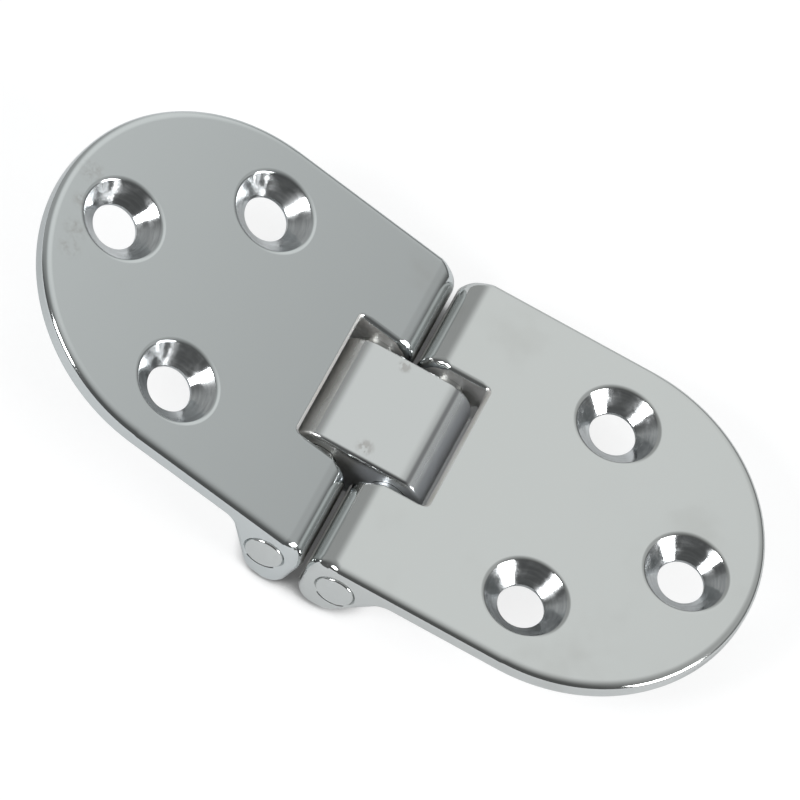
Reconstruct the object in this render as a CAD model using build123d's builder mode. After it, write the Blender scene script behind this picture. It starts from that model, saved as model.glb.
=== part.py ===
from build123d import *
import os
from math import cos, radians, sin, tan

# Double-pin flap hinge, cast and polished stainless steel.
# Two round-ended leaves turn on their own pins in one short centre link.
# The right leaf lies level. The left leaf is raised a little, as it was left.
# All sizes are in millimetres.

# Leaf, seen from above
leaf_width = 38.4
leaf_length = 40.15  # inner face to the top of the round end
leaf_thickness = 2.3

# Knuckle under the inner edge, measured from the pin's axis
pin_depth = 3.63  # top face down to the axis
face_reach = 3.65  # axis out to the inner face
knuckle_drop = 4.1  # axis down to the knuckle's foot
foot_width = 4.0
flank_angle = 50.0
crown_round = 3.1
foot_round = 2.05
flank_foot_round = 2.2
flank_root_round = 1.8

# Edges, broken all round
edge_break = 0.45
notch_edge_break = 0.4

# Notch for the link
notch_width = 15.4
notch_depth = 7.4
notch_corner_round = 0.4

# Screw holes, countersunk for flat-headed screws
screw_hole_radius = 2.4
countersink_radius = 4.35
countersink_angle = 90.0
pair_distance = 20.25  # inner face to the two holes side by side
pair_spacing = 22.8
end_hole_distance = 32.95  # inner face to the hole near the round end

# Pins, pressed into the leaves and peened over at both ends
pin_radius = 2.0
pin_spacing = 7.8
pin_proud = 0.15
pin_end_break = 0.25
bore_mouth_break = 0.25
bore_mouth_angle = 90.0

# Centre link
link_width = 13.0
link_round = 3.4
link_bore_clearance = 0.05
link_side_round = 0.45
toe_reach = 0.7  # how far a toe passes under the notch's end wall
toe_round = 1.2
toe_tip_round = 0.5
stop_gap = 0.15

# Pose in which the hinge was left
raised_angle = 14.1

# Measures of the leaf from its pin's axis
underside = pin_depth - leaf_thickness
leaf_tip = leaf_length - face_reach
notch_wall = notch_depth - face_reach
flank_slope = tan(radians(flank_angle))
flank_foot = foot_width - face_reach
flank_root = flank_foot + (underside + knuckle_drop) / flank_slope

# Where the pins lie: the hinge stands on its lower knuckle, centred on the origin
raised = radians(raised_angle)
pin_height = (
    (knuckle_drop - foot_round) * cos(raised)
    + (face_reach - foot_round) * sin(raised)
    + foot_round
)
left_reach = leaf_tip * cos(raised) - (underside + edge_break) * sin(raised)
right_pin_x = (pin_spacing + left_reach - leaf_tip) / 2
left_pin_x = right_pin_x - pin_spacing
right_place = Location((right_pin_x, 0, pin_height))
left_place = Location((left_pin_x, 0, pin_height), (0, raised_angle, 0)) * Location((0, 0, 0), (0, 0, 180))

os.makedirs("parts", exist_ok=True)

# One leaf, with its pin's axis on the Y axis and its round end towards +X
inner_top = (-face_reach, pin_depth)
inner_bottom = (-face_reach, -knuckle_drop)
foot_end = (flank_foot, -knuckle_drop)
plate_root = (flank_root, underside)
section_rounds = (
    (inner_top, crown_round),
    (inner_bottom, foot_round),
    (foot_end, flank_foot_round),
    (plate_root, flank_root_round),
)

screw_places = (
    (pair_distance - face_reach, -pair_spacing / 2),
    (pair_distance - face_reach, pair_spacing / 2),
    (end_hole_distance - face_reach, 0),
)

with BuildPart() as leaf:
    with BuildSketch(Plane.XZ) as section:
        with BuildLine():
            Polyline(
                inner_top,
                inner_bottom,
                foot_end,
                plate_root,
                (leaf_tip, underside),
                (leaf_tip, pin_depth),
                close=True,
            )
        make_face()
        for corner, radius in section_rounds:
            fillet(section.vertices().sort_by_distance(corner)[0], radius)
    extrude(amount=leaf_width / 2, both=True)

    # Round end, cut from above
    with BuildSketch(Plane.XY.offset(-knuckle_drop)) as outline:
        with Locations((leaf_tip - leaf_width / 2, 0)):
            Circle(leaf_width / 2)
        with Locations((-face_reach, 0)):
            Rectangle(leaf_length - leaf_width / 2, leaf_width, align=(Align.MIN, Align.CENTER))
    extrude(amount=knuckle_drop + pin_depth, mode=Mode.INTERSECT)
    side_faces = leaf.faces().filter_by(Axis.Y).sort_by(Axis.Y)
    chamfer(side_faces[0].edges() + side_faces[-1].edges(), edge_break)

    # Notch for the link, through the knuckle and into the plate
    with BuildSketch(Plane.XY.offset(-knuckle_drop)) as notch:
        with Locations((-face_reach, 0)):
            Rectangle(notch_depth, notch_width, align=(Align.MIN, Align.CENTER))
    extrude(amount=knuckle_drop + pin_depth, mode=Mode.SUBTRACT)
    notch_top = (notch_wall, 0, pin_depth)
    end_wall = leaf.faces().filter_by(Axis.X).sort_by_distance(notch_top)[0]
    fillet(end_wall.edges().filter_by(Axis.Z), notch_corner_round)
    end_wall = leaf.faces().filter_by(Axis.X).sort_by_distance(notch_top)[0]
    ear_walls = leaf.faces().filter_by(Axis.Y).sort_by(lambda face: abs(face.center().Y))[:2]
    rims = end_wall.edges().filter_by(Axis.Y)
    for ear_wall in ear_walls:
        rims += ear_wall.edges().sort_by(lambda edge: edge.bounding_box().min.X)[:-1]
    chamfer(rims, notch_edge_break)

    # Countersunk screw holes
    with Locations(Plane.XY.offset(pin_depth)):
        with Locations(*screw_places):
            CounterSinkHole(screw_hole_radius, countersink_radius, counter_sink_angle=countersink_angle)

    # Bore for the pin, with its rim broken where it leaves the ears
    bore_mouth_radius = pin_radius + bore_mouth_break
    near_side = Plane(origin=(0, -leaf_width / 2, 0), z_dir=(0, -1, 0))
    far_side = Plane(origin=(0, leaf_width / 2, 0), z_dir=(0, 1, 0))
    with Locations(near_side, far_side):
        CounterSinkHole(pin_radius, bore_mouth_radius, counter_sink_angle=bore_mouth_angle)

# Pin, peened at both ends, with its axis on the Y axis
with BuildPart() as pin:
    with Locations(Location((0, 0, 0), (90, 0, 0))):
        Cylinder(pin_radius, leaf_width + 2 * pin_proud)
    chamfer(pin.edges().filter_by(GeomType.CIRCLE), pin_end_break)

# Each leaf and its pin, put where they belong
with BuildPart() as right_leaf:
    with Locations(right_place):
        add(leaf.part)
right_leaf.part.label = "right_leaf"

with BuildPart() as right_pin:
    with Locations(right_place):
        add(pin.part)
right_pin.part.label = "right_pin"

with BuildPart() as left_leaf:
    with Locations(left_place):
        add(leaf.part)
left_leaf.part.label = "left_leaf"

with BuildPart() as left_pin:
    with Locations(left_place):
        add(pin.part)
left_pin.part.label = "left_pin"

# Centre link: round over both pins, with square toes below them.
# The notch's end wall comes down on the toe when a leaf is flat, and stops there.
link_middle = (right_pin_x + left_pin_x) / 2
wall_foot = flank_slope * (notch_wall - flank_foot) - knuckle_drop
toe_top = wall_foot - stop_gap
toe_tip = notch_wall + toe_reach

with BuildPart() as centre_link:
    with BuildSketch(Plane.XZ) as link_section:
        with Locations((link_middle, pin_height)):
            SlotCenterToCenter(pin_spacing, 2 * link_round)
        with Locations((link_middle, pin_height + toe_top)):
            Rectangle(pin_spacing + 2 * toe_tip, toe_top + link_round, align=(Align.CENTER, Align.MAX))
        toe_corners = link_section.vertices().sort_by(lambda vertex: -abs(vertex.X - link_middle))[:4]
        fillet(toe_corners.sort_by(Axis.Y)[:2], toe_round)
        toe_corners = link_section.vertices().sort_by(lambda vertex: -abs(vertex.X - link_middle))[:4]
        fillet(toe_corners.sort_by(Axis.Y)[2:], toe_tip_round)
    extrude(amount=link_width / 2, both=True)
    link_sides = centre_link.faces().filter_by(Axis.Y)
    fillet(link_sides.edges(), link_side_round)
    for bore_x in (left_pin_x, right_pin_x):
        with Locations(Location((bore_x, 0, pin_height), (90, 0, 0))):
            Hole(pin_radius + link_bore_clearance)
centre_link.part.label = "centre_link"

for piece in (right_leaf, left_leaf, centre_link, right_pin, left_pin):
    export_step(piece.part, f"parts/{piece.part.label}.step")
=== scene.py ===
import logging
import math
from collections.abc import Callable
from dataclasses import dataclass
from enum import Enum

import bmesh
import bpy
from mathutils import Euler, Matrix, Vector


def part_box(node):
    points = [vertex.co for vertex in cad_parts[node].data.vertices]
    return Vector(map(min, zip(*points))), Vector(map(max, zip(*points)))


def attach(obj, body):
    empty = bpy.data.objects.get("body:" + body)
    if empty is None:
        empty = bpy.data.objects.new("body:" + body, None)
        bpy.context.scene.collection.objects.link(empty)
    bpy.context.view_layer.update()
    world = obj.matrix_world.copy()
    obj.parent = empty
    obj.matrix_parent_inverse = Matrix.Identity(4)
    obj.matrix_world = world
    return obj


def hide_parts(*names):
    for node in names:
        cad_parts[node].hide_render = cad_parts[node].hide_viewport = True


# Double-pin flap hinge in polished stainless steel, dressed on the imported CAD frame.
# Pieces are modelled in millimetres about a pin's axis, then scaled and put in their places.

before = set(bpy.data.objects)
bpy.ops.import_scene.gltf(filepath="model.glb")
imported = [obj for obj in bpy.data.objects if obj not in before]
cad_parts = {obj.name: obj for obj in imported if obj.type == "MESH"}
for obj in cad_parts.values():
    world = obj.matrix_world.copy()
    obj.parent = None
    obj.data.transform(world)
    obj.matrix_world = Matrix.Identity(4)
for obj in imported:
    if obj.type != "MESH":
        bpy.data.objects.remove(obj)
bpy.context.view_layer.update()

LOG = logging.getLogger("hinge")
MILLIMETRE = 0.001

# Millimetres within which two places count as one
SLACK = 0.01
# Share of a normal along an axis: more than FACING looks along it, less than LEVEL lies along it
FACING = 0.99
LEVEL = 0.01
# Sockets of a Mix node that mixes colours
MIX_SHARE = 0
MIX_FIRST = 6
MIX_SECOND = 7
MIX_RESULT = 2

Colour = tuple[float, float, float]
Point = tuple[float, float, float]
Pair = tuple[float, float]
# Places on a piece, each with its reach in metres
Marks = tuple[tuple[Point, float], ...]


class Slot(Enum):
    """The record's material slots."""

    LEAF = "leaf_steel"
    LINK = "link_steel"
    PIN = "pin_steel"


class Body(Enum):
    """The CAD bodies that pieces ride on."""

    RIGHT = "right_leaf"
    LINK = "link"
    LEFT = "left_leaf"


class Finish(Enum):
    """The finishes of a casting, by material index."""

    POLISHED = 0
    TURNED = 1
    LINISHED = 2


class Socket:
    """A value in a node graph, with the arithmetic that the materials use."""

    def __init__(self, graph: "Graph", output: bpy.types.NodeSocket) -> None:
        """Wrap one output socket of a graph's node."""
        self.graph = graph
        self.output = output

    def math(self, operation: str, *others: "float | Socket") -> "Socket":
        """Add a Math node that works on this value and others.

        Args:
            operation: The Math node's operation.
            others: Its further operands, numbers or sockets.

        Returns:
            The node's result.
        """
        inputs = dict(enumerate((self, *others)))
        return self.graph.node("ShaderNodeMath", {"operation": operation}, inputs)

    def __add__(self, other: "float | Socket") -> "Socket":
        """Return the sum."""
        return self.math("ADD", other)

    def __radd__(self, other: float) -> "Socket":
        """Return the sum with a number on the left."""
        return self.math("ADD", other)

    def __sub__(self, other: "float | Socket") -> "Socket":
        """Return the difference."""
        return self.math("SUBTRACT", other)

    def __rsub__(self, other: float) -> "Socket":
        """Return a number less this value."""
        return self.graph.node("ShaderNodeMath", {"operation": "SUBTRACT"}, {0: other, 1: self})

    def __mul__(self, other: "float | Socket") -> "Socket":
        """Return the product."""
        return self.math("MULTIPLY", other)

    def __rmul__(self, other: float) -> "Socket":
        """Return the product with a number on the left."""
        return self.math("MULTIPLY", other)

    def ramp(self, start: float, end: float, low: float = 0.0, high: float = 1.0) -> "Socket":
        """Pass smoothly from low, where the value is start, to high, where it is end."""
        settings = {"interpolation_type": "SMOOTHSTEP"}
        stops = {"From Min": start, "From Max": end, "To Min": low, "To Max": high}
        return self.graph.node("ShaderNodeMapRange", settings, {"Value": self, **stops})


class Graph:
    """The node tree of a material or of the world, emptied for building."""

    def __init__(self, owner: "bpy.types.Material | bpy.types.World") -> None:
        """Take over the owner's node tree and clear it."""
        owner.use_nodes = True
        self.tree = owner.node_tree
        self.tree.nodes.clear()

    def node(
        self,
        kind: str,
        settings: dict[str, object] | None = None,
        inputs: dict[str | int, object] | None = None,
        output: str | int = 0,
    ) -> Socket:
        """Add a node.

        Args:
            kind: The node's type.
            settings: Properties of the node, set before its sockets.
            inputs: Values or sockets for its inputs, by name or number.
            output: Which of its outputs to return.

        Returns:
            The chosen output.
        """
        node = self.tree.nodes.new(kind)
        for name, value in (settings or {}).items():
            setattr(node, name, value)
        for name, value in (inputs or {}).items():
            if isinstance(value, Socket):
                self.tree.links.new(value.output, node.inputs[name])
            else:
                node.inputs[name].default_value = value
        return Socket(self, node.outputs[output] if node.outputs else None)

    def object_point(self, stretch: Point = (1.0, 1.0, 1.0), turn: Point = (0.0, 0.0, 0.0)) -> Socket:
        """Return the point on the object, stretched and turned for a pattern."""
        place = self.node("ShaderNodeTexCoord", output="Object")
        values = {"Vector": place, "Scale": stretch, "Rotation": turn}
        return self.node("ShaderNodeMapping", None, values)

    def vector(
        self,
        operation: str,
        first: "Socket | Point",
        second: "Socket | Point | float",
        output: str = "Vector",
    ) -> Socket:
        """Add a Vector Math node.

        Args:
            operation: The node's operation.
            first: Its first vector.
            second: Its second vector, or the factor for SCALE.
            output: Vector or Value.

        Returns:
            The chosen output.
        """
        other = "Scale" if operation == "SCALE" else 1
        inputs = {0: first, other: second}
        return self.node("ShaderNodeVectorMath", {"operation": operation}, inputs, output)

    def distance(self, point: Socket, centre: Point) -> Socket:
        """Return how far a point lies from a place."""
        return self.vector("DISTANCE", point, centre, output="Value")

    def bump(self, height: Socket, depth: float, normal: Socket | None = None) -> Socket:
        """Raise a surface.

        Args:
            height: The height, as a pattern.
            depth: What a height of 1 stands for, in metres.
            normal: The normal of the surface underneath, if it is raised already.

        Returns:
            The raised surface's normal.
        """
        under = {} if normal is None else {"Normal": normal}
        values = {"Strength": 1.0, "Distance": depth, "Height": height, **under}
        return self.node("ShaderNodeBump", None, values)

    def steel(
        self, colour: Socket, rough: Socket, normal: Socket, metallic: "float | Socket" = 1.0
    ) -> None:
        """Finish the material as metal.

        Args:
            colour: Its colour.
            rough: Its roughness.
            normal: Its surface's normal.
            metallic: How far it is metal, from 0 to 1.
        """
        values = {"Base Color": colour, "Metallic": metallic, "Roughness": rough, "Normal": normal}
        shader = self.node("ShaderNodeBsdfPrincipled", None, values)
        self.node("ShaderNodeOutputMaterial", None, {"Surface": shader})

    def mix(
        self, share: "float | Socket", first: "Colour | Socket", second: "Colour | Socket"
    ) -> Socket:
        """Mix two colours.

        Args:
            share: How much of the second there is, from 0 to 1.
            first: The first colour.
            second: The second colour.

        Returns:
            The mixed colour.
        """
        inputs: dict[int, object] = {MIX_SHARE: share}
        for at, value in ((MIX_FIRST, first), (MIX_SECOND, second)):
            inputs[at] = value if isinstance(value, Socket) else (*value, 1.0)
        return self.node("ShaderNodeMix", {"data_type": "RGBA"}, inputs, MIX_RESULT)


@dataclass(frozen=True)
class Pattern:
    """Noise over a surface, and the two values between which it comes to show."""

    density: float
    detail: float
    roughness: float = 0.5
    shows: Pair = (0.0, 1.0)
    stretch: Point = (1.0, 1.0, 1.0)
    turn: Point = (0.0, 0.0, 0.0)

    def noise(self, graph: Graph, point: Socket | None = None) -> Socket:
        """Return the noise from 0 to 1.

        Args:
            graph: The node tree that it is added to.
            point: Where it is read, or none for the point on the object.

        Returns:
            The noise.
        """
        at = graph.object_point(self.stretch, self.turn) if point is None else point
        shape = {"Scale": self.density, "Detail": self.detail, "Roughness": self.roughness}
        return graph.node("ShaderNodeTexNoise", None, {"Vector": at, **shape}, "Fac")

    def share(self, graph: Graph) -> Socket:
        """Return how far the pattern shows, from 0 to 1."""
        return self.noise(graph).ramp(*self.shows)


def near_places(
    graph: Graph, point: Socket, places: Marks, core: float
) -> "float | Socket":
    """Return how near a point lies to any of several places.

    Args:
        graph: The node tree that it is added to.
        point: The point.
        places: The places, each with its reach in metres.
        core: The share of a reach within which the value is full.

    Returns:
        A value from 0, out of reach, to 1, at a place.
    """
    near: float | Socket = 0.0
    for place, reach in places:
        near = near + graph.distance(point, place).ramp(reach, core * reach)
    return near


@dataclass(frozen=True)
class Crown:
    """How far polishing has rounded a flat face: a gentle barrel about its middle."""

    middle: Point
    way: Point
    radius: float

    def height(self, graph: Graph, point: Socket) -> Socket:
        """Measure how far the face falls below its middle.

        Args:
            graph: The node tree that it is added to.
            point: The point on the object.

        Returns:
            A height in metres, negative away from the middle.
        """
        offset = graph.vector("SUBTRACT", point, self.middle)
        along = graph.vector("DOT_PRODUCT", offset, self.way, output="Value")
        return along * along * (-0.5 / self.radius)


@dataclass(frozen=True)
class PolishedSteel:
    """Mirror polished stainless steel, a little uneven from hand buffing."""

    name: str
    crown: Crown
    stains: Marks = ()
    colour: Colour = (0.60, 0.615, 0.61)
    handled: Colour = (0.55, 0.56, 0.55)
    stain: Colour = (0.34, 0.31, 0.28)
    roughness: float = 0.09
    haze: float = 0.06
    haze_pattern: Pattern = Pattern(160.0, 3.0, shows=(0.45, 0.75))
    handling: Pattern = Pattern(55.0, 4.0, 0.6, (0.6, 0.8))
    waves: Pattern = Pattern(90.0, 1.0)
    wave_depth: float = 0.000012
    swirls: Pattern = Pattern(900.0, 2.0, stretch=(1.0, 7.0, 1.0), turn=(0.0, 0.0, 0.7))
    swirl_depth: float = 0.0000005
    flecks: Pattern = Pattern(900.0, 4.0, 0.7, (0.4, 0.7))
    stain_core: float = 0.1
    stain_strength: float = 0.45
    stain_roughness: float = 0.15

    def build(self) -> bpy.types.Material:
        """Make the material.

        Returns:
            The finished material.
        """
        material = bpy.data.materials.new(self.name)
        graph = Graph(material)
        point = graph.object_point()
        normal = graph.bump(self.crown.height(graph, point), 1.0)
        normal = graph.bump(self.waves.noise(graph), self.wave_depth, normal)
        normal = graph.bump(self.swirls.noise(graph), self.swirl_depth, normal)
        colour = graph.mix(self.handling.share(graph), self.colour, self.handled)
        rough = self.roughness + self.haze * self.haze_pattern.share(graph)
        if self.stains:
            near = near_places(graph, point, self.stains, self.stain_core)
            stained = self.flecks.share(graph) * near
            colour = graph.mix(self.stain_strength * stained, colour, self.stain)
            rough = rough + self.stain_roughness * stained
        graph.steel(colour, rough, normal)
        return material


@dataclass(frozen=True)
class TurnedSteel:
    """Countersinks cut on the drill press: fine rings about each hole, bright but not polished."""

    name: str
    normal: Point
    colour: Colour = (0.64, 0.66, 0.67)
    worn: Colour = (0.50, 0.515, 0.525)
    roughness: float = 0.1
    streak: float = 0.16
    streaks: Pattern = Pattern(520.0, 3.0, shows=(0.4, 0.65))
    rings: Pattern = Pattern(1.0, 3.0, 0.6, (0.35, 0.7))
    ring_density: float = 4200.0
    drift_density: float = 320.0
    ring_depth: float = 0.0000011
    chatter: Pattern = Pattern(640.0, 2.0)
    chatter_depth: float = 0.000012

    def build(self) -> bpy.types.Material:
        """Make the material.

        Returns:
            The finished material.
        """
        material = bpy.data.materials.new(self.name)
        graph = Graph(material)
        point = graph.object_point()
        height = graph.vector("DOT_PRODUCT", point, self.normal, output="Value")
        along = graph.vector("SCALE", self.normal, height * self.ring_density)
        across = graph.vector("SCALE", point, self.drift_density)
        rings = self.rings.noise(graph, graph.vector("ADD", along, across))
        normal = graph.bump(self.chatter.noise(graph), self.chatter_depth)
        normal = graph.bump(rings, self.ring_depth, normal)
        colour = graph.mix(rings.ramp(*self.rings.shows), self.worn, self.colour)
        rough = self.roughness + self.streak * self.streaks.share(graph)
        graph.steel(colour, rough, normal)
        return material


@dataclass(frozen=True)
class LinishedSteel:
    """Inner walls dressed on a belt and left dull, browner where the belt didn't reach."""

    name: str
    colour: Colour = (0.72, 0.715, 0.705)
    skin: Colour = (0.54, 0.525, 0.50)
    metallic: float = 0.8
    roughness: float = 0.40
    coarse: float = 0.14
    missed: Pattern = Pattern(420.0, 4.0, 0.6, (0.35, 0.7), (1.0, 0.3, 1.6))
    grain: Pattern = Pattern(1500.0, 3.0, 0.65, stretch=(1.0, 1.0, 9.0))
    grain_depth: float = 0.000009

    def build(self) -> bpy.types.Material:
        """Make the material.

        Returns:
            The finished material.
        """
        material = bpy.data.materials.new(self.name)
        graph = Graph(material)
        missed = self.missed.share(graph)
        colour = graph.mix(missed, self.colour, self.skin)
        rough = self.roughness + self.coarse * missed
        normal = graph.bump(self.grain.noise(graph), self.grain_depth)
        graph.steel(colour, rough, normal, self.metallic)
        return material


@dataclass(frozen=True)
class LinkSteel:
    """The link: buffed on top, and only linished where its rounds fall away between the leaves, where
    its colours are painted light: painted shade on the left round, a painted bluish reflection and a
    painted dark reflection line on the right one.

    The drops, and the painted reflection line's start and end, are depths below the link's top in
    metres.
    """

    name: str
    top: float
    crown: Crown
    marks: Marks = ()
    colour: Colour = (0.60, 0.615, 0.615)
    # The rounds' dull colours are partly painted light: darker on the left as painted shade, bluish on
    # the right as a painted reflection
    dull: Colour = (0.40, 0.40, 0.39)
    right_painted_reflection: Colour = (0.60, 0.626, 0.66)
    dull_below: Colour = (0.52, 0.525, 0.525)
    # A thin painted dark reflection line along the right round
    reflection_line: Colour = (0.20, 0.20, 0.21)
    mark: Colour = (0.30, 0.28, 0.26)
    roughness: float = 0.12
    dulled: float = 0.32
    dull_drop: Pair = (0.0001, 0.0011)
    unevenness: Pattern = Pattern(420.0, 3.0)
    uneven_drop: float = 0.0005
    dull_metallic: float = 0.8
    below_drop: Pair = (0.0022, 0.004)
    across_middle: Pair = (-0.001, 0.001)
    line_start: Pair = (0.00008, 0.00018)
    line_end: Pair = (0.00034, 0.00022)
    line_strength: float = 0.7
    flecks: Pattern = Pattern(1500.0, 4.0, 0.65, (0.46, 0.6), (1.0, 0.45, 1.0), (0.0, 0.0, 0.5))
    mark_core: float = 0.35
    mark_strength: float = 0.5
    grain: Pattern = Pattern(1100.0, 3.0, 0.6, stretch=(9.0, 1.0, 9.0))
    grain_depth: float = 0.0000015

    def build(self) -> bpy.types.Material:
        """Make the material.

        Returns:
            The finished material.
        """
        material = bpy.data.materials.new(self.name)
        graph = Graph(material)
        point = graph.object_point()
        height = graph.node("ShaderNodeSeparateXYZ", None, {0: point}, "Z")
        drop = self.top - height
        uneven = (self.unevenness.noise(graph) - 0.5) * self.uneven_drop
        dull = (drop + uneven).ramp(*self.dull_drop)
        along = graph.vector("SUBTRACT", point, self.crown.middle)
        right = graph.node("ShaderNodeSeparateXYZ", None, {0: along}, "X").ramp(*self.across_middle)
        # Painted light on the rounds: painted shade on the left end, a painted bluish reflection on the
        # right end
        ends = graph.mix(right, self.dull, self.right_painted_reflection)
        ends = graph.mix(drop.ramp(*self.below_drop), ends, self.dull_below)
        colour = graph.mix(dull, self.colour, ends)
        # Painted dark reflection line, just below the top of the right round
        reflection_line = right * drop.ramp(*self.line_start) * drop.ramp(*self.line_end)
        colour = graph.mix(self.line_strength * reflection_line, colour, self.reflection_line)
        marked = self.flecks.share(graph) * near_places(graph, point, self.marks, self.mark_core)
        colour = graph.mix(self.mark_strength * marked, colour, self.mark)
        rough = self.roughness + self.dulled * dull
        normal = graph.bump(self.crown.height(graph, point), 1.0)
        normal = graph.bump(self.grain.noise(graph), self.grain_depth, normal)
        graph.steel(colour, rough, normal, 1.0 - (1.0 - self.dull_metallic) * dull)
        return material


class Workpiece:
    """A mesh on the bench, in millimetres, shaped with the modelling operators."""

    def __init__(self, name: str) -> None:
        """Take the object that an operator has just added."""
        self.object: bpy.types.Object = bpy.context.object
        self.object.name = name
        self.object.data.name = name

    @staticmethod
    def clear_selection() -> None:
        """Deselect every object."""
        bpy.ops.object.select_all(action="DESELECT")

    @classmethod
    def added(cls, name: str) -> "Workpiece":
        """Take the primitive that an operator has just added, with its place put in its mesh."""
        piece = cls(name)
        piece.settle()
        return piece

    @classmethod
    def block(cls, name: str, low: Point, high: Point) -> "Workpiece":
        """Add a cube that fills a box.

        Args:
            name: The piece's name.
            low: The box's lowest corner.
            high: The box's highest corner.

        Returns:
            The block.
        """
        cls.clear_selection()
        low_corner, high_corner = Vector(low), Vector(high)
        bpy.ops.mesh.primitive_cube_add(
            size=1.0, location=(low_corner + high_corner) / 2, scale=high_corner - low_corner
        )
        return cls.added(name)

    @classmethod
    def bar(cls, name: str, radius: float, length: float, centre: Point, sides: int) -> "Workpiece":
        """Add a round bar along Y.

        Args:
            name: The piece's name.
            radius: The bar's radius.
            length: The bar's length.
            centre: The middle of the bar.
            sides: Facets about the bar.

        Returns:
            The bar.
        """
        cls.clear_selection()
        bpy.ops.mesh.primitive_cylinder_add(
            vertices=sides, radius=radius, depth=length, location=centre, rotation=(math.pi / 2, 0, 0)
        )
        return cls.added(name)

    @classmethod
    def post(cls, name: str, radius: float, reach: Pair, place: Pair, sides: int) -> "Workpiece":
        """Add an upright round post.

        Args:
            name: The piece's name.
            radius: The post's radius.
            reach: The heights of its foot and its head.
            place: Where it stands, along X and Y.
            sides: Facets about the post.

        Returns:
            The post.
        """
        cls.clear_selection()
        low, high = reach
        bpy.ops.mesh.primitive_cylinder_add(
            vertices=sides, radius=radius, depth=high - low, location=(*place, (low + high) / 2)
        )
        return cls.added(name)

    def activate(self) -> None:
        """Make this the one selected and active object."""
        self.clear_selection()
        self.object.select_set(True)
        bpy.context.view_layer.objects.active = self.object

    def settle(self) -> None:
        """Put the object's place, turn and scale into its mesh."""
        self.activate()
        bpy.ops.object.transform_apply(location=True, rotation=True, scale=True)

    def edit(self, mode: str) -> bmesh.types.BMesh:
        """Enter edit mode with nothing selected.

        Args:
            mode: VERT, EDGE or FACE.

        Returns:
            The mesh under edit.
        """
        self.activate()
        bpy.ops.object.mode_set(mode="EDIT")
        bpy.ops.mesh.select_mode(type=mode)
        bpy.ops.mesh.select_all(action="DESELECT")
        return bmesh.from_edit_mesh(self.object.data)

    def pick_faces(self, wanted: Callable[[bmesh.types.BMFace], bool]) -> None:
        """Enter edit mode with the wanted faces selected."""
        mesh = self.edit("FACE")
        for face in mesh.faces:
            face.select_set(bool(wanted(face)))
        bmesh.update_edit_mesh(self.object.data)

    def leave(self) -> None:
        """Leave edit mode."""
        bpy.ops.object.mode_set(mode="OBJECT")

    def scale(self, factor: Point) -> None:
        """Scale the whole mesh about the local origin."""
        self.edit("VERT")
        bpy.ops.mesh.select_all(action="SELECT")
        bpy.ops.transform.resize(value=factor, center_override=(0, 0, 0))
        self.leave()

    def extrude(self, wanted: Callable[[bmesh.types.BMFace], bool], move: Point) -> None:
        """Extrude faces.

        Args:
            wanted: Says whether a face is extruded.
            move: How far, along each axis.
        """
        self.pick_faces(wanted)
        bpy.ops.mesh.extrude_region_move(TRANSFORM_OT_translate={"value": move})
        self.leave()

    def shift(self, wanted: Callable[[Vector], bool], move: Point) -> None:
        """Move corners.

        Args:
            wanted: Says whether a corner is moved, from its place.
            move: How far, along each axis.
        """
        mesh = self.edit("VERT")
        for vertex in mesh.verts:
            vertex.select_set(bool(wanted(vertex.co)))
        bmesh.update_edit_mesh(self.object.data)
        bpy.ops.transform.translate(value=move)
        self.leave()

    def widen(
        self, wanted: Callable[[bmesh.types.BMFace], bool], factor: Point, centre: Point
    ) -> None:
        """Scale faces about a point.

        Args:
            wanted: Says whether a face is scaled.
            factor: How much, along each axis.
            centre: The point that stays in its place.
        """
        self.pick_faces(wanted)
        bpy.ops.transform.resize(value=factor, center_override=centre)
        self.leave()

    def bevel(self, wanted: Callable[[bmesh.types.BMEdge], bool], width: float, segments: int) -> int:
        """Round the edges that are wanted.

        Args:
            wanted: Says whether an edge is rounded.
            width: How far back each side starts.
            segments: Steps across the round.

        Returns:
            How many edges were rounded.
        """
        mesh = self.edit("EDGE")
        count = 0
        for edge in mesh.edges:
            if wanted(edge):
                edge.select_set(True)
                count += 1
        bmesh.update_edit_mesh(self.object.data)
        bpy.ops.mesh.bevel(
            offset=width, segments=segments, profile=0.5, affect="EDGES", clamp_overlap=False
        )
        self.leave()
        return count

    def bevel_by_weight(
        self, weigh: Callable[[bmesh.types.BMEdge], float], width: float, segments: int
    ) -> int:
        """Round edges by a width that varies along them.

        Args:
            weigh: Gives an edge's share of the width, or 0 to leave it sharp.
            width: The width at a weight of 1.
            segments: Steps across the round.

        Returns:
            How many edges were rounded.
        """
        mesh = self.edit("EDGE")
        layer = mesh.edges.layers.float.new("bevel_weight_edge")
        count = 0
        for edge in mesh.edges:
            edge[layer] = weigh(edge)
            count += edge[layer] > 0
        bmesh.update_edit_mesh(self.object.data)
        self.leave()
        modifier = self.object.modifiers.new("rounds", "BEVEL")
        modifier.limit_method = "WEIGHT"
        modifier.width = width
        modifier.segments = segments
        modifier.use_clamp_overlap = False
        bpy.ops.object.modifier_apply(modifier=modifier.name)
        weights = self.object.data.attributes["bevel_weight_edge"]
        self.object.data.attributes.remove(weights)
        return count

    def tidy(self, distance: float = 0.0005, angle: float = 0.05) -> None:
        """Merge doubles and drop edges that lie within a flat face.

        Args:
            distance: How near corners are merged.
            angle: The turn between two faces, in degrees, that still counts as flat.
        """
        self.edit("VERT")
        bpy.ops.mesh.select_all(action="SELECT")
        bpy.ops.mesh.remove_doubles(threshold=distance)
        bpy.ops.mesh.dissolve_limited(angle_limit=math.radians(angle))
        bpy.ops.mesh.normals_make_consistent(inside=False)
        self.leave()

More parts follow.
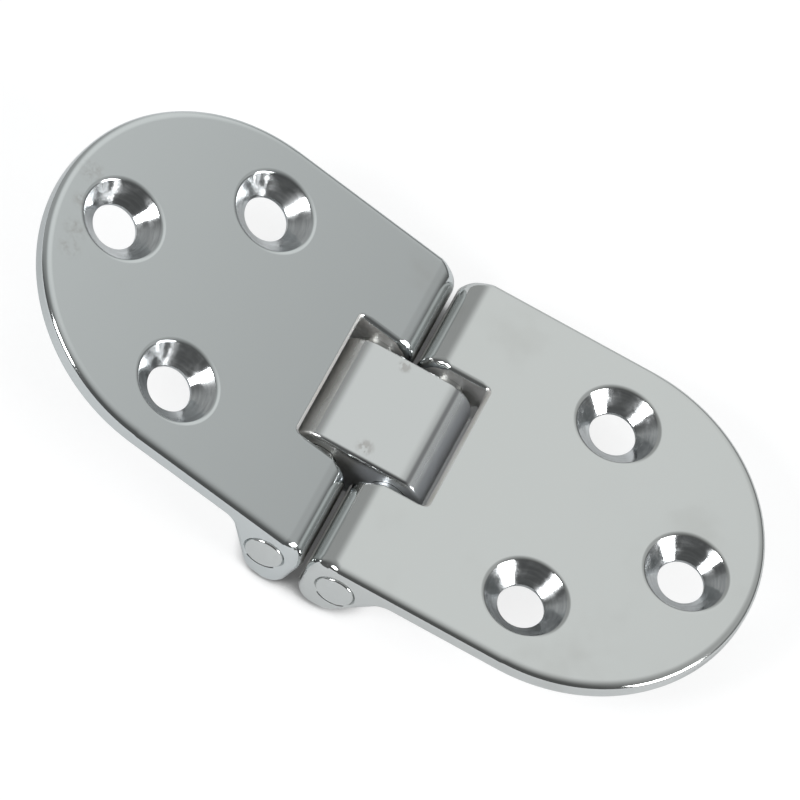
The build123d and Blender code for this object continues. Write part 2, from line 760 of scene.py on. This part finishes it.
    def combine(self, other: "Workpiece", operation: str) -> None:
        """Cut another workpiece out of this one or fuse it on, and use it up.

        Args:
            other: The cutter or the part to add.
            operation: DIFFERENCE or UNION.
        """
        self.activate()
        modifier = self.object.modifiers.new("combine", "BOOLEAN")
        modifier.operation = operation
        modifier.solver = "EXACT"
        modifier.object = other.object
        bpy.ops.object.modifier_apply(modifier=modifier.name)
        bpy.data.objects.remove(other.object)

    def dress(self, wanted: Callable[[bpy.types.MeshPolygon], bool], finish: "Finish") -> int:
        """Give faces a finish of their own.

        Args:
            wanted: Says whether a face takes the finish.
            finish: The finish.

        Returns:
            How many faces took it.
        """
        chosen = [face for face in self.object.data.polygons if wanted(face)]
        for face in chosen:
            face.material_index = finish.value
        return len(chosen)

    def smooth(self, angle: float = 32.0, weight: int = 100) -> None:
        """Shade the rounds smooth and keep flat faces flat.

        Args:
            angle: The turn between two faces, in degrees, from which an edge looks sharp.
            weight: How much more large faces count than small ones, from 1 to 100.
        """
        self.activate()
        bpy.ops.object.shade_smooth_by_angle(angle=math.radians(angle), keep_sharp_edges=False)
        modifier = self.object.modifiers.new("weighted", "WEIGHTED_NORMAL")
        modifier.mode = "FACE_AREA"
        modifier.weight = weight
        modifier.keep_sharp = True
        bpy.ops.object.modifier_apply(modifier=modifier.name)

    def copy(self, name: str) -> "Workpiece":
        """Return a copy with a mesh of its own."""
        self.activate()
        bpy.ops.object.duplicate(linked=False)
        return Workpiece(name)

    def place(self, at: Vector, turns: tuple[Point, ...] = ()) -> None:
        """Scale the piece to metres, turn it and carry it to its pin's axis.

        Args:
            at: Where the local origin goes, in metres.
            turns: Euler turns in radians, made one after another.
        """
        self.object.scale = (MILLIMETRE,) * 3
        self.settle()
        for turn in turns:
            self.object.rotation_euler = Euler(turn)
            self.settle()
        self.object.location = at
        self.settle()


@dataclass
class LeafCasting:
    """One round-ended leaf with its knuckle, in millimetres from its pin's axis.

    Steps are the facets across a round, and sides those about a whole turn. The crown has
    many, because a round that changes its width along it needs small turns between edges.
    Leans are shares of a face's normal, by which the dull faces are told from the others.
    """

    width: float = 38.4
    tip: float = 36.5
    top: float = 3.63
    underside: float = 1.33
    inner_face: float = -3.65
    foot: float = -4.1
    foot_end: float = 0.35
    flank_angle: float = 50.0
    crown_round: float = 3.1
    foot_round: float = 2.05
    flank_foot_round: float = 2.2
    flank_root_round: float = 1.8
    crown_steps: int = 72
    foot_steps: int = 18
    flank_steps: int = 12
    end_steps: int = 72
    edge_reach: float = 0.97
    edge_drop: float = 0.65
    edge_steps: int = 10
    worn_share: float = 1.45
    wear_start: float = 18.0
    wear_end: float = 60.0
    notch_width: float = 15.4
    notch_wall: float = 3.75
    notch_corner: float = 0.4
    notch_corner_steps: int = 6
    notch_edge_round: float = 0.5
    notch_edge_steps: int = 7
    worn_notch_share: float = 2.0
    low_notch_share: float = 0.6
    dull_margin: float = 0.06
    dull_reach: Pair = (-0.1, 0.9)
    dull_wall_lean: float = 0.2
    dull_end_lean: float = 0.3
    dull_face_lean: float = 0.93
    bore_lean: float = 0.8
    pair_distance: float = 16.6
    pair_spacing: float = 22.8
    end_distance: float = 29.3
    hole_radius: float = 2.4
    hole_sides: int = 128
    sink_radius: float = 4.35
    rim_round: float = 0.28
    rim_steps: int = 5
    bore_radius: float = 2.0
    bore_sides: int = 96
    bore_mouth: float = 0.2
    clear: float = 2.0

    @property
    def flank_root(self) -> float:
        """Where the flank would meet the underside."""
        return self.foot_end + (self.underside - self.foot) / math.tan(math.radians(self.flank_angle))

    @property
    def end_centre(self) -> float:
        """The middle of the round end."""
        return self.tip - self.width / 2

    def blank(self) -> Workpiece:
        """Model the plate and knuckle as one block with a round end.

        Returns:
            The block, with its corners rounded along the knuckle.
        """
        side = self.width / 2
        piece = Workpiece.block(
            "leaf", (self.inner_face, -side, self.underside), (self.flank_root, side, self.top)
        )
        piece.extrude(lambda face: face.normal.z < -FACING, (0, 0, self.foot - self.underside))
        piece.shift(
            lambda corner: corner.z < self.foot + SLACK and corner.x > 0,
            (self.foot_end - self.flank_root, 0, 0),
        )
        piece.extrude(lambda face: face.normal.x > FACING, (self.tip - self.flank_root, 0, 0))
        piece.tidy()
        half_turn = math.tan(math.radians(self.flank_angle / 2))
        corners = (
            (self.inner_face, self.top, self.crown_round, self.crown_steps),
            (self.inner_face, self.foot, self.foot_round, self.foot_steps),
            (self.foot_end, self.foot, self.flank_foot_round * half_turn, self.flank_steps),
            (self.flank_root, self.underside, self.flank_root_round * half_turn, self.flank_steps),
        )
        for x, z, width, steps in corners:
            piece.bevel(lambda edge, at=(x, z): runs_across(edge, at), width, steps)
        piece.bevel(lambda edge: stands_at(edge, self.tip), side, self.end_steps)
        piece.tidy()
        return piece

    def on_outline(self, face: bmesh.types.BMFace) -> bool:
        """Say whether a face belongs to the leaf's outer wall.

        Args:
            face: The face.

        Returns:
            Whether it stands upright on a side or round the end.
        """
        centre = face.calc_center_median()
        on_side = abs(centre.y) > self.width / 2 - SLACK
        return abs(face.normal.z) < LEVEL and (on_side or centre.x > self.end_centre)

    def on_notch(self, face: bmesh.types.BMFace) -> bool:
        """Say whether a face belongs to the notch's walls.

        Args:
            face: The face.

        Returns:
            Whether it stands upright in the notch.
        """
        centre = face.calc_center_median()
        within = centre.x < self.notch_wall + SLACK and abs(centre.y) < self.notch_width / 2 + SLACK
        inner = face.normal.x < -FACING and centre.x < self.inner_face + SLACK
        return abs(face.normal.z) < LEVEL and within and not inner and face.normal.x < LEVEL

    def notch(self) -> Workpiece:
        """Model the notch.

        Returns:
            The cutter, which reaches past the leaf above, below and inwards.
        """
        half = self.notch_width / 2
        cutter = Workpiece.block(
            "notch",
            (self.inner_face - self.clear, -half, self.foot - self.clear),
            (self.notch_wall, half, self.top + self.clear),
        )
        cutter.bevel(
            lambda edge: stands_at(edge, self.notch_wall), self.notch_corner, self.notch_corner_steps
        )
        return cutter

    def countersink(self, x: float, y: float) -> Workpiece:
        """Model one countersunk hole.

        Args:
            x: Where it is along the leaf.
            y: Where it is across the leaf.

        Returns:
            The cutter, which reaches past the leaf above and below.
        """
        heights = (self.underside - self.clear, self.top - (self.sink_radius - self.hole_radius))
        cutter = Workpiece.post("hole", self.hole_radius, heights, (x, y), self.hole_sides)
        reach = self.sink_radius + self.clear
        factor = reach / self.hole_radius
        cutter.extrude(lambda face: face.normal.z > FACING, (0, 0, reach - self.hole_radius))
        cutter.widen(lambda face: face.normal.z > FACING, (factor, factor, 1), (x, y, 0))
        return cutter

    def bore(self) -> Workpiece:
        """Model the pin's bore, flared where it leaves the ears.

        Returns:
            The cutter, which reaches past the leaf on both sides.
        """
        side = self.width / 2
        seat = side - self.bore_mouth
        cutter = Workpiece.bar("bore", self.bore_radius, 2 * seat, (0, 0, 0), self.bore_sides)
        reach = self.bore_mouth + self.clear
        factor = (self.bore_radius + reach) / self.bore_radius
        for way in (-1, 1):
            cutter.extrude(lambda face: face.normal.y * way > FACING, (0, way * reach, 0))
            cutter.widen(lambda face: face.normal.y * way > FACING, (factor, 1, factor), (0, 0, 0))
        return cutter

    def build(self) -> Workpiece:
        """Model the finished casting.

        Returns:
            The leaf, with its pin's axis on the Y axis.
        """
        piece = self.blank()
        stretch = self.edge_reach / self.edge_drop
        widest = self.edge_reach * self.worn_share
        piece.scale((1, 1, stretch))
        rims = piece.bevel_by_weight(self.outline_weight, widest, self.edge_steps)
        piece.scale((1, 1, 1 / stretch))
        LOG.info("leaf: %d outer edges rounded", rims)
        piece.combine(self.notch(), "DIFFERENCE")
        widest = self.notch_edge_round * self.worn_notch_share
        rims = piece.bevel_by_weight(self.notch_weight, widest, self.notch_edge_steps)
        LOG.info("leaf: %d notch edges rounded", rims)
        half = self.pair_spacing / 2
        holes = ((self.pair_distance, -half), (self.pair_distance, half), (self.end_distance, 0.0))
        for x, y in holes:
            piece.combine(self.countersink(x, y), "DIFFERENCE")
        rims = piece.bevel(lambda edge: self.on_sink_rim(edge, holes), self.rim_round, self.rim_steps)
        LOG.info("leaf: %d countersink edges rounded", rims)
        piece.combine(self.bore(), "DIFFERENCE")
        turned = piece.dress(lambda face: self.in_sink(face, holes), Finish.TURNED)
        linished = piece.dress(self.in_notch, Finish.LINISHED)
        LOG.info("leaf: %d turned and %d linished faces", turned, linished)
        piece.smooth()
        return piece

    def wear(self, edge: bmesh.types.BMEdge, most: float) -> float:
        """Return how much wider an edge is rounded where a polishing wheel meets the crown.

        Args:
            edge: The edge.
            most: The greatest widening, on the crown.

        Returns:
            The widening, from 1 on the plate to the greatest.
        """
        middle = middle_of(edge)
        back = self.inner_face + self.crown_round - middle.x
        rise = middle.z - (self.top - self.crown_round)
        fall = math.degrees(math.atan2(max(back, 0.0), max(rise, 0.0)))
        share = min(fall / self.wear_start, 1.0) * min((90.0 - fall) / (90.0 - self.wear_end), 1.0)
        return 1.0 + (most - 1.0) * max(share, 0.0)

    def notch_weight(self, edge: bmesh.types.BMEdge) -> float:
        """Weigh an edge for the rounds of the notch.

        Args:
            edge: The edge.

        Returns:
            Its share of the widest round, or 0 off the notch.
        """
        if sum(self.on_notch(face) for face in edge.link_faces) != 1:
            return 0.0
        above = middle_of(edge).z > 0
        share = self.wear(edge, self.worn_notch_share) if above else self.low_notch_share
        return share / self.worn_notch_share

    def outline_weight(self, edge: bmesh.types.BMEdge) -> float:
        """Return an edge's share of the widest outer round, or 0 off the outline."""
        outer = sum(self.on_outline(face) for face in edge.link_faces) == 1
        return self.wear(edge, self.worn_share) / self.worn_share if outer else 0.0

    def in_sink(self, face: bpy.types.MeshPolygon, holes: tuple[Pair, ...]) -> bool:
        """Say whether a face is on the wall of a screw hole or its countersink.

        Args:
            face: The face.
            holes: Where the screw holes are.

        Returns:
            Whether the face is in one of them.
        """
        inside = self.underside < face.center.z < self.top - self.rim_round
        return inside and any(
            math.hypot(face.center.x - x, face.center.y - y) < self.sink_radius for x, y in holes
        )

    def in_notch(self, face: bpy.types.MeshPolygon) -> bool:
        """Say whether a face is one of those that are only linished.

        Args:
            face: The face.

        Returns:
            Whether it is on the notch's walls, on the knuckle's inner face or in the bore.
        """
        margin = self.dull_margin
        near, far = self.dull_reach
        past_wall = face.center.x - self.notch_wall
        between = abs(face.center.y) < self.notch_width / 2 + margin and past_wall < margin
        upright = abs(face.normal.z) < self.dull_wall_lean
        walled = between and upright and face.center.x > self.inner_face
        radial = math.hypot(face.center.x, face.center.z) < self.bore_radius + margin
        bored = radial and abs(face.normal.y) < self.bore_lean
        ended = near < past_wall < far and face.normal.x < -self.dull_end_lean
        inner = face.normal.x < -self.dull_face_lean
        return walled or inner or bored or ended

    def on_sink_rim(self, edge: bmesh.types.BMEdge, holes: tuple[Pair, ...]) -> bool:
        """Say whether an edge is on the rim of a countersink.

        Args:
            edge: The edge.
            holes: Where the screw holes are.

        Returns:
            Whether both its ends lie on one rim.
        """
        ends = [end.co for end in edge.verts]
        if any(abs(end.z - self.top) > SLACK for end in ends):
            return False
        return any(
            all(abs(math.hypot(end.x - x, end.y - y) - self.sink_radius) < SLACK for end in ends)
            for x, y in holes
        )


def middle_of(edge: bmesh.types.BMEdge) -> Vector:
    """Return the middle of an edge."""
    return sum((end.co for end in edge.verts), Vector()) / 2


def runs_across(edge: bmesh.types.BMEdge, at: Pair) -> bool:
    """Say whether an edge runs along Y at a place in the section."""
    ends = [end.co for end in edge.verts]
    return all(abs(end.x - at[0]) < SLACK and abs(end.z - at[1]) < SLACK for end in ends)


def stands_at(edge: bmesh.types.BMEdge, x: float) -> bool:
    """Say whether an edge stands upright at a distance along X.

    Args:
        edge: The edge.
        x: The distance.

    Returns:
        Whether it does.
    """
    first, second = (end.co for end in edge.verts)
    upright = abs(first.z - second.z) > SLACK and abs(first.y - second.y) < SLACK
    return upright and abs(first.x - x) < SLACK and abs(second.x - x) < SLACK


def rims_an_end(edge: bmesh.types.BMEdge) -> bool:
    """Say whether an edge bounds a face that looks along Y."""
    return sum(abs(face.normal.y) > FACING for face in edge.link_faces) == 1


@dataclass
class CentreLink:
    """The link between the pins, in millimetres from the middle of its two bores."""

    width: float = 13.0
    half_spacing: float = 3.9
    round_radius: float = 3.4
    round_steps: int = 24
    crown_depth: float = 1.0
    toe_reach: float = 4.45
    toe_top: float = -0.198
    toe_round: float = 1.2
    toe_steps: int = 10
    toe_tip_round: float = 0.5
    toe_tip_steps: int = 8
    side_round: float = 0.45
    side_steps: int = 6
    bore_radius: float = 2.05
    bore_sides: int = 96
    clear: float = 1.0

    def build(self) -> Workpiece:
        """Model the link: a round-topped bar fused to a square-toed one.

        Returns:
            The link, level, with the middle of its bores at the origin.
        """
        side = self.width / 2
        bar = self.half_spacing + self.round_radius
        toe = self.half_spacing + self.toe_reach
        top, bottom = self.round_radius, -self.round_radius
        piece = Workpiece.block("link", (-toe, -side, bottom), (toe, side, self.toe_top))
        for x in (-toe, toe):
            piece.bevel(lambda edge: runs_across(edge, (x, bottom)), self.toe_round, self.toe_steps)
            piece.bevel(
                lambda edge: runs_across(edge, (x, self.toe_top)), self.toe_tip_round, self.toe_tip_steps
            )
        crown = Workpiece.block("crown", (-bar, -side, -self.crown_depth), (bar, side, top))
        for x in (-bar, bar):
            crown.bevel(lambda edge: runs_across(edge, (x, top)), self.round_radius, self.round_steps)
        piece.combine(crown, "UNION")
        piece.tidy()
        rims = piece.bevel(rims_an_end, self.side_round, self.side_steps)
        LOG.info("link: %d side edges rounded", rims)
        length = self.width + 2 * self.clear
        for x in (-self.half_spacing, self.half_spacing):
            bore = Workpiece.bar("link_bore", self.bore_radius, length, (x, 0, 0), self.bore_sides)
            piece.combine(bore, "DIFFERENCE")
        piece.smooth()
        return piece


@dataclass
class HingePin:
    """A plain pin, peened and polished off at both ends, in millimetres about its middle."""

    radius: float = 1.995
    sides: int = 96
    length: float = 38.7
    end_round: float = 0.25
    end_steps: int = 5

    def build(self) -> Workpiece:
        """Model the pin.

        Returns:
            The pin, along Y, with its middle at the origin.
        """
        piece = Workpiece.bar("pin", self.radius, self.length, (0, 0, 0), self.sides)
        piece.bevel(rims_an_end, self.end_round, self.end_steps)
        piece.smooth()
        return piece


@dataclass
class Hinge:
    """The whole hinge: two leaves, the link and two pins, where the frame has them."""

    leaf: LeafCasting
    link: CentreLink
    pin: HingePin
    raised: float = 14.1
    crown_radius: float = 0.45
    pin_roughness: float = 0.13
    # The left leaf's steel is painted lighter and bluer than the right leaf's, as a painted reflection
    left_painted_reflection_colour: Colour = (0.61, 0.637, 0.642)
    left_stains: Marks = (
        ((-0.0353, -0.0064, 0.01587), 0.0016),
        ((-0.03568, -0.00436, 0.01596), 0.0018),
        ((-0.03644, -0.00112, 0.01615), 0.0015),
        ((-0.0372, 0.00242, 0.01634), 0.0018),
    )
    link_marks: Marks = (
        ((-0.00138, 0.00542, 0.00783), 0.0009),
        ((-0.00101, -0.00502, 0.00783), 0.0012),
    )

    @staticmethod
    def axis_of(node: str) -> Vector:
        """Return the middle of a pin in the frame."""
        low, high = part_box(node)
        return (low + high) / 2

    @staticmethod
    def finish_piece(
        piece: Workpiece, node: str, body: Body, slot: Slot, *materials: bpy.types.Material
    ) -> None:
        """Dress a piece and hand it to the frame.

        Args:
            piece: The placed piece.
            node: The CAD node that it stands for.
            body: The body that it rides on.
            slot: Not used.
            materials: Its finishes, in the order of their indices.
        """
        for material in materials:
            piece.object.data.materials.append(material)
        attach(piece.object, body.value)
        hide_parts(node)
        LOG.info("%s: %d faces", piece.object.name, len(piece.object.data.polygons))

    def build(self) -> None:
        """Model, place and dress every piece, the left ones as copies of the right ones."""
        right_axis = self.axis_of("right_pin")
        left_axis = self.axis_of("left_pin")
        raised = math.radians(self.raised)
        left_way = Vector((-math.cos(raised), 0.0, math.sin(raised)))
        half_leaf = (self.leaf.tip + self.leaf.inner_face) / 2 * MILLIMETRE
        right_way = Vector((1.0, 0.0, 0.0))
        right_middle = tuple(right_axis + right_way * half_leaf)
        left_middle = tuple(left_axis + left_way * half_leaf)
        right_crown = Crown(right_middle, tuple(right_way), self.crown_radius)
        left_crown = Crown(left_middle, tuple(left_way), self.crown_radius)
        right_steel = PolishedSteel("leaf_steel_right", right_crown).build()
        left_steel = PolishedSteel(
            "leaf_steel_left", left_crown, self.left_stains, self.left_painted_reflection_colour
        ).build()
        linished = LinishedSteel("linished_steel").build()
        right_sinks = TurnedSteel("turned_steel_right", (0.0, 0.0, 1.0)).build()
        left_up = (math.sin(raised), 0.0, math.cos(raised))
        left_sinks = TurnedSteel("turned_steel_left", left_up).build()
        middle = (right_axis + left_axis) / 2
        link_crown = Crown(tuple(middle), tuple(right_way), self.crown_radius)
        link_top = middle.z + self.link.round_radius * MILLIMETRE
        link_steel = LinkSteel("link_steel", link_top, link_crown, self.link_marks).build()
        pin_steel = PolishedSteel("pin_steel", link_crown, roughness=self.pin_roughness).build()
        left_turns = ((0.0, 0.0, math.pi), (0.0, raised, 0.0))

        right = self.leaf.build()
        left = right.copy("left_leaf_casting")
        right.object.name = "right_leaf_casting"
        right.place(right_axis)
        left.place(left_axis, left_turns)
        right_finishes = (right_steel, right_sinks, linished)
        left_finishes = (left_steel, left_sinks, linished)
        self.finish_piece(right, "right_leaf", Body.RIGHT, Slot.LEAF, *right_finishes)
        self.finish_piece(left, "left_leaf", Body.LEFT, Slot.LEAF, *left_finishes)

        link = self.link.build()
        link.object.name = "centre_link_bar"
        link.place(middle)
        self.finish_piece(link, "centre_link", Body.LINK, Slot.LINK, link_steel)

        right_pin = self.pin.build()
        left_pin = right_pin.copy("left_hinge_pin")
        right_pin.object.name = "right_hinge_pin"
        right_pin.place(right_axis)
        left_pin.place(left_axis, left_turns)
        self.finish_piece(right_pin, "right_pin", Body.RIGHT, Slot.PIN, pin_steel)
        self.finish_piece(left_pin, "left_pin", Body.LEFT, Slot.PIN, pin_steel)


@dataclass(frozen=True)
class Lamp:
    """A rectangular softbox that faces the hinge from a distance in metres."""

    name: str
    azimuth: float
    elevation: float
    width: float
    height: float
    watts: float
    distance: float = 1.2

    def build(self) -> None:
        """Put the lamp up."""
        light = bpy.data.lights.new(self.name, "AREA")
        light.shape = "RECTANGLE"
        light.size, light.size_y = self.width, self.height
        light.energy = self.watts
        holder = bpy.data.objects.new(self.name, light)
        bpy.context.scene.collection.objects.link(holder)
        turn, lift = math.radians(self.azimuth), math.radians(self.elevation)
        level = math.cos(lift)
        way = Vector((math.cos(turn) * level, math.sin(turn) * level, math.sin(lift)))
        holder.location = way * self.distance
        holder.rotation_mode = "QUATERNION"
        holder.rotation_quaternion = way.to_track_quat("Z", "Y")
        holder.visible_camera = False


@dataclass(frozen=True)
class Studio:
    """A white table in a room with a pale panel behind and overhead, and two softboxes.

    The walls' spans are where a change starts and ends, as shares of the way that is looked
    along, and the panel's is its rise behind the hinge, in degrees. The floor's spans are
    shares of open air. The oval that the hinge covers is a circle of radius 1 once scaled.
    """

    lamps: tuple[Lamp, ...] = (
        Lamp("right_softbox", azimuth=-8.0, elevation=20.0, width=0.62, height=0.42, watts=12.0),
        Lamp("left_softbox", azimuth=226.0, elevation=36.0, width=0.42, height=0.42, watts=9.0),
    )
    tint: Colour = (0.98, 1.0, 0.99)
    room: float = 0.12
    panel: float = 0.92
    panel_rise: Pair = (-48.0, 30.0)
    left_wall: float = 0.47
    left_span: Pair = (-0.15, -0.6)
    right_wall: float = 0.56
    right_span: Pair = (0.0, 0.6)
    skirting: float = 0.26
    skirting_span: Pair = (-0.3, 0.3)
    skirting_height: Pair = (0.06, 0.46)
    floor_side: float = 3.0
    floor_colour: Colour = (0.80, 0.81, 0.82)
    floor_lift: float = 0.8
    # The glow's painted shade near and under the hinge: its least share, and the reaches and spans of
    # open air over which it fades
    floor_least: float = 0.1
    floor_share: float = 0.3
    contact: float = 0.0045
    contact_clears: Pair = (0.3, 0.64)
    under_scale: Point = (108.0, 54.0, 0.0)
    under_centre: Point = (0.1, 0.13, 0.0)
    under_edge: Pair = (0.85, 1.1)
    under_reach: float = 0.014
    under_clears: Pair = (0.45, 0.85)

    def build_world(self) -> None:
        """Light the room: a soft panel behind and overhead, greyer walls, dark behind the camera."""
        world = bpy.data.worlds.new("studio")
        bpy.context.scene.world = world
        graph = Graph(world)
        way = graph.node("ShaderNodeTexCoord", output="Generated")
        parts = {axis: graph.node("ShaderNodeSeparateXYZ", None, {0: way}, axis) for axis in "XYZ"}
        left = parts["X"].ramp(*self.left_span, 1.0, self.left_wall)
        right = parts["X"].ramp(*self.right_span, 1.0, self.right_wall)
        base = parts["X"].ramp(*self.skirting_span, 1.0, self.skirting)
        low = base + (1.0 - base) * parts["Z"].ramp(*self.skirting_height)
        start, end = (math.radians(angle) for angle in self.panel_rise)
        depth = parts["Y"].math("ARCTAN2", parts["Z"]).ramp(start, end)
        strength = self.room + (self.panel * (left * right * low) - self.room) * depth
        values = {"Color": (*self.tint, 1.0), "Strength": strength}
        light = graph.node("ShaderNodeBackground", None, values)
        graph.node("ShaderNodeOutputWorld", None, {"Surface": light})

    @staticmethod
    def openness(graph: Graph, reach: float) -> Socket:
        """Return how open the air above a surface is, out to a reach in metres."""
        return graph.node("ShaderNodeAmbientOcclusion", None, {"Distance": reach}, "AO")

    def build_floor(self) -> None:
        """Lay the table top, white where the camera sees it, its glow darkened as painted shade near and
        under the hinge.
        """
        Workpiece.clear_selection()
        bpy.ops.mesh.primitive_plane_add(size=self.floor_side, location=(0, 0, 0))
        table = bpy.context.object
        table.name = "table_top"
        material = bpy.data.materials.new("table_top")
        graph = Graph(material)
        seen = graph.node("ShaderNodeLightPath", output="Is Camera Ray")
        shaded = tuple(self.floor_share * part for part in self.floor_colour)
        diffuse = graph.node(
            "ShaderNodeBsdfDiffuse", None, {"Color": graph.mix(seen, self.floor_colour, shaded)}
        )
        # Painted shade in the glow: darker where the air close by is shut in, and farther out within the
        # oval under the hinge
        spot = graph.vector("MULTIPLY", graph.object_point(), self.under_scale)
        beside = graph.distance(spot, self.under_centre).ramp(*self.under_edge)
        wide = self.openness(graph, self.under_reach).ramp(*self.under_clears)
        close = self.openness(graph, self.contact).ramp(*self.contact_clears)
        clear = (beside + (1.0 - beside) * wide) * close
        least = self.floor_least
        lift = seen * (least + (1.0 - least) * clear) * self.floor_lift
        glow = graph.node("ShaderNodeEmission", None, {"Strength": lift})
        both = graph.node("ShaderNodeAddShader", None, {0: diffuse, 1: glow})
        graph.node("ShaderNodeOutputMaterial", None, {"Surface": both})
        table.data.materials.append(material)

    def build(self) -> None:
        """Set up the table, the room and the lamps."""
        self.build_world()
        self.build_floor()
        for lamp in self.lamps:
            lamp.build()
        bpy.context.scene.view_settings.view_transform = "Standard"


@dataclass(frozen=True)
class Camera:
    """The photograph's viewpoint."""

    aim: Point = (-0.00024, 0.00163, 0.008)
    distance: float = 0.9
    azimuth: float = -0.543
    elevation: float = 56.727
    roll: float = 28.244
    lens: float = 413.71
    sensor: float = 36.0
    clip: Pair = (0.01, 10.0)

    def build(self) -> None:
        """Set up the camera and make it the scene's."""
        data = bpy.data.cameras.new("camera")
        data.lens = self.lens
        data.sensor_width = self.sensor
        data.clip_start, data.clip_end = self.clip
        holder = bpy.data.objects.new("camera", data)
        bpy.context.scene.collection.objects.link(holder)
        turn, lift, roll = (math.radians(a) for a in (self.azimuth, self.elevation, self.roll))
        level = math.cos(lift)
        look = Vector((math.sin(turn) * level, math.cos(turn) * level, -math.sin(lift)))
        holder.location = Vector(self.aim) - look * self.distance
        holder.rotation_mode = "QUATERNION"
        upright = look.to_track_quat("-Z", "Y")
        holder.rotation_quaternion = upright @ Euler((0.0, 0.0, roll)).to_quaternion()
        bpy.context.scene.camera = holder


def main() -> None:
    """Build the hinge, the studio and the camera."""
    logging.basicConfig(level=logging.INFO, format="%(name)s: %(message)s")
    Hinge(LeafCasting(), CentreLink(), HingePin()).build()
    Studio().build()
    Camera().build()


if __name__ == "__main__":
    main()
